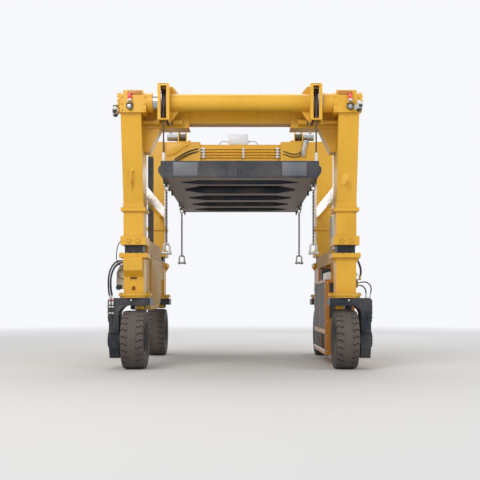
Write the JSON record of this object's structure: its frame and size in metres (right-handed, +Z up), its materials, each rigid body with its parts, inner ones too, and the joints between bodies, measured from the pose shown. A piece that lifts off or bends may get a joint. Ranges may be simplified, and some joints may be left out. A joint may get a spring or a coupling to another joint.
{
  "type": "straddle carrier",
  "caption": "Mobile gantry straddle carrier with four slewing wheel forks, telescopic legs and width, an open lane and a rope-hung container spreader",
  "frame": {"origin": "on the floor, in the middle of the machine's plan", "axes": "+Z up, front end at -Y, +X to the right of someone who looks at the front, where the power pack is"},
  "size_m": [5.242, 5.44, 5.6028],
  "materials": {
    "yellow_paint": "semi-gloss yellow paint, lightly dusty",
    "fork_paint": "dark blue-grey paint, satin",
    "inner_leg_paint": "dark grey paint, greased sliding faces",
    "side_panel": "tan gloss paint with a soft sheen",
    "rail_paint": "glossy yellow paint",
    "pack_paint": "orange paint, semi-gloss",
    "door_panel": "taupe powder coat",
    "engine_grey": "dark engine paint",
    "exhaust_wrap": "off-white heat wrap",
    "chrome_rod": "hard chrome, polished",
    "motor_silver": "cast aluminium",
    "sheave_steel": "greased cast iron",
    "rope_steel": "brown-grey laid wire rope",
    "chain_steel": "dark chain steel with pale bow ends",
    "socket_white": "off-white paint",
    "tyre_rubber": "matt black-brown tyre rubber",
    "rim_paint": "dark grey paint",
    "spreader_paint": "dark blue-grey paint",
    "lamp_parts": "black housings, red beacon lens and white bracket",
    "chain_black": "matt black plastic",
    "box_white": "light grey paint"
  },
  "bodies": {
    "crossbeams": {"cross_tubes": "yellow_paint", "sheave_housings": "yellow_paint", "inner_beams": "yellow_paint", "width_cylinders": "yellow_paint", "journals": "chrome_rod", "winch_frames": "yellow_paint", "winch_motors": "motor_silver", "rope_runs": "rope_steel", "rope_falls": "rope_steel", "pipe_bank": "yellow_paint", "junction_box": "box_white"},
    "spreader": {"spreader": "spreader_paint", "rope_sockets": "socket_white", "sling_lugs": "spreader_paint", "slings": "chain_steel"},
    "left_lower": {"left_inner_legs": "inner_leg_paint", "left_columns": "yellow_paint", "left_tank": "side_panel"},
    "right_lower": {"right_inner_legs": "inner_leg_paint", "right_columns": "yellow_paint", "right_side_beam": "side_panel", "pack_case": "pack_paint", "pack_engine": "engine_grey", "pack_exhaust": "exhaust_wrap"},
    "pack_door_front": {"pack_door_front": "door_panel"},
    "pack_door_rear": {"pack_door_rear": "door_panel"},
    "drum_left": {"drum_left": "sheave_steel"},
    "drum_right": {"drum_right": "sheave_steel"},
    "left_frame": {"left_legs": "yellow_paint", "left_rail": "rail_paint", "left_sleeves": "yellow_paint", "left_heads": "yellow_paint", "left_width_rods": "yellow_paint", "left_lamps": "lamp_parts", "left_chain_guide": "chain_black"},
    "sheave_left_front": {"sheave_left_front": "sheave_steel"},
    "fork_left_front": {"fork_left_front": "fork_paint"},
    "wheel_left_front": {"tyre_left_front": "tyre_rubber", "rim_left_front": "rim_paint"},
    "sheave_left_rear": {"sheave_left_rear": "sheave_steel"},
    "fork_left_rear": {"fork_left_rear": "fork_paint"},
    "wheel_left_rear": {"tyre_left_rear": "tyre_rubber", "rim_left_rear": "rim_paint"},
    "right_frame": {"right_legs": "yellow_paint", "right_rail": "rail_paint", "right_sleeves": "yellow_paint", "right_heads": "yellow_paint", "right_width_rods": "yellow_paint", "right_lamps": "lamp_parts", "right_chain_guide": "chain_black"},
    "sheave_right_front": {"sheave_right_front": "sheave_steel"},
    "fork_right_front": {"fork_right_front": "fork_paint"},
    "wheel_right_front": {"tyre_right_front": "tyre_rubber", "rim_right_front": "rim_paint"},
    "sheave_right_rear": {"sheave_right_rear": "sheave_steel"},
    "fork_right_rear": {"fork_right_rear": "fork_paint"},
    "wheel_right_rear": {"tyre_right_rear": "tyre_rubber", "rim_right_rear": "rim_paint"}
  },
  "joints": [
    {"name": "width_left", "type": "slide", "parent": "crossbeams", "child": "left_frame", "axis": [-1, 0, 0], "range_m": [0, 0.4]},
    {"name": "height_left", "type": "slide", "parent": "left_frame", "child": "left_lower", "axis": [0, 0, -1], "range_m": [0, 0.5]},
    {"name": "steer_left_front", "type": "hinge", "parent": "left_lower", "child": "fork_left_front", "pos_m": [-2.095, -1.95, 1.41], "axis": [0, 0, 1], "range_deg": [-45, 45]},
    {"name": "spin_left_front", "type": "hinge", "parent": "fork_left_front", "child": "wheel_left_front", "pos_m": [-2.095, -1.95, 0.58], "axis": [1, 0, 0], "continuous": true},
    {"name": "sheave_spin_left_front", "type": "hinge", "parent": "crossbeams", "child": "sheave_left_front", "pos_m": [-1.4525, -2.445, 5.12], "axis": [1, 0, 0], "continuous": true},
    {"name": "steer_left_rear", "type": "hinge", "parent": "left_lower", "child": "fork_left_rear", "pos_m": [-2.095, 1.95, 1.41], "axis": [0, 0, 1], "range_deg": [-45, 45]},
    {"name": "spin_left_rear", "type": "hinge", "parent": "fork_left_rear", "child": "wheel_left_rear", "pos_m": [-2.095, 1.95, 0.58], "axis": [1, 0, 0], "continuous": true},
    {"name": "sheave_spin_left_rear", "type": "hinge", "parent": "crossbeams", "child": "sheave_left_rear", "pos_m": [-1.4525, 2.445, 5.12], "axis": [1, 0, 0], "continuous": true},
    {"name": "drum_spin_left", "type": "hinge", "parent": "crossbeams", "child": "drum_left", "pos_m": [-1.4525, 1.95, 5.478], "axis": [1, 0, 0], "continuous": true},
    {"name": "width_right", "type": "slide", "parent": "crossbeams", "child": "right_frame", "axis": [1, 0, 0], "range_m": [0, 0.4]},
    {"name": "height_right", "type": "slide", "parent": "right_frame", "child": "right_lower", "axis": [0, 0, -1], "range_m": [0, 0.5]},
    {"name": "steer_right_front", "type": "hinge", "parent": "right_lower", "child": "fork_right_front", "pos_m": [2.095, -1.95, 1.41], "axis": [0, 0, 1], "range_deg": [-45, 45]},
    {"name": "spin_right_front", "type": "hinge", "parent": "fork_right_front", "child": "wheel_right_front", "pos_m": [2.095, -1.95, 0.58], "axis": [1, 0, 0], "continuous": true},
    {"name": "sheave_spin_right_front", "type": "hinge", "parent": "crossbeams", "child": "sheave_right_front", "pos_m": [1.4525, -2.445, 5.12], "axis": [1, 0, 0], "continuous": true},
    {"name": "steer_right_rear", "type": "hinge", "parent": "right_lower", "child": "fork_right_rear", "pos_m": [2.095, 1.95, 1.41], "axis": [0, 0, 1], "range_deg": [-45, 45]},
    {"name": "spin_right_rear", "type": "hinge", "parent": "fork_right_rear", "child": "wheel_right_rear", "pos_m": [2.095, 1.95, 0.58], "axis": [1, 0, 0], "continuous": true},
    {"name": "sheave_spin_right_rear", "type": "hinge", "parent": "crossbeams", "child": "sheave_right_rear", "pos_m": [1.4525, 2.445, 5.12], "axis": [1, 0, 0], "continuous": true},
    {"name": "drum_spin_right", "type": "hinge", "parent": "crossbeams", "child": "drum_right", "pos_m": [1.4525, 1.95, 5.478], "axis": [1, 0, 0], "continuous": true},
    {"name": "hoist", "type": "slide", "parent": "crossbeams", "child": "spreader", "axis": [0, 0, 1], "range_m": [-2.05, 0.25], "deforming": ["rope_falls"]},
    {"name": "pack_door_front_hinge", "type": "hinge", "parent": "right_lower", "child": "pack_door_front", "pos_m": [1.78, -1.19, 1.25], "axis": [0, 0, 1], "range_deg": [0, 100]},
    {"name": "pack_door_rear_hinge", "type": "hinge", "parent": "right_lower", "child": "pack_door_rear", "pos_m": [1.78, 1.04, 1.25], "axis": [0, 0, -1], "range_deg": [0, 100]}
  ]
}
